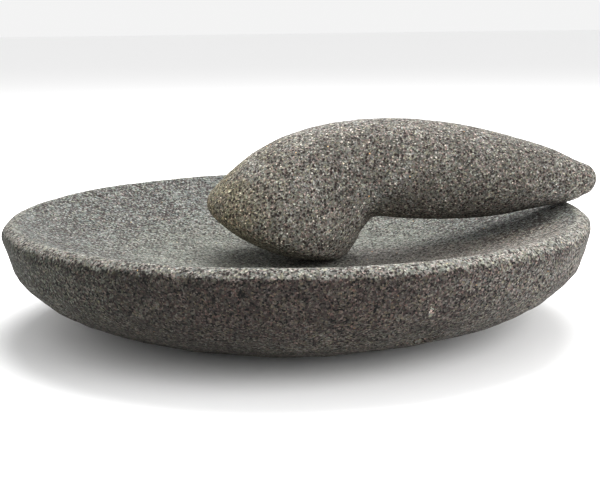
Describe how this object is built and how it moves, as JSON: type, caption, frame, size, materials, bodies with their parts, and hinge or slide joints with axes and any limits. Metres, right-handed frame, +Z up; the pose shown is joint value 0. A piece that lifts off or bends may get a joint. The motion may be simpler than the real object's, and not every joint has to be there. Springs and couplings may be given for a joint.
{
  "type": "stone grinding dish with pestle",
  "caption": "Shallow round flat-based stone grinding dish with a rounded rim, and a loose bent stone pestle resting across the bowl",
  "frame": {"origin": "middle of the dish's flat base, on the surface it stands on", "axes": "+Z up, out of the bowl; +X toward the end of the pestle's handle; +Y across the pestle, away from the side it is seen from"},
  "size_m": [0.2573, 0.25, 0.0845],
  "materials": {
    "dish_stone": "matte, speckled grey volcanic stone with fine dark grains and open pores",
    "pestle_stone": "matte, speckled brown-grey volcanic stone, worn smoother by the hand"
  },
  "bodies": {
    "dish": {"dish": "dish_stone"},
    "pestle": {"pestle": "pestle_stone"}
  },
  "joints": [
    {"name": "pestle_lift", "type": "slide", "parent": "dish", "child": "pestle", "axis": [0, 0, 1], "range_m": [0, 0.1]}
  ]
}
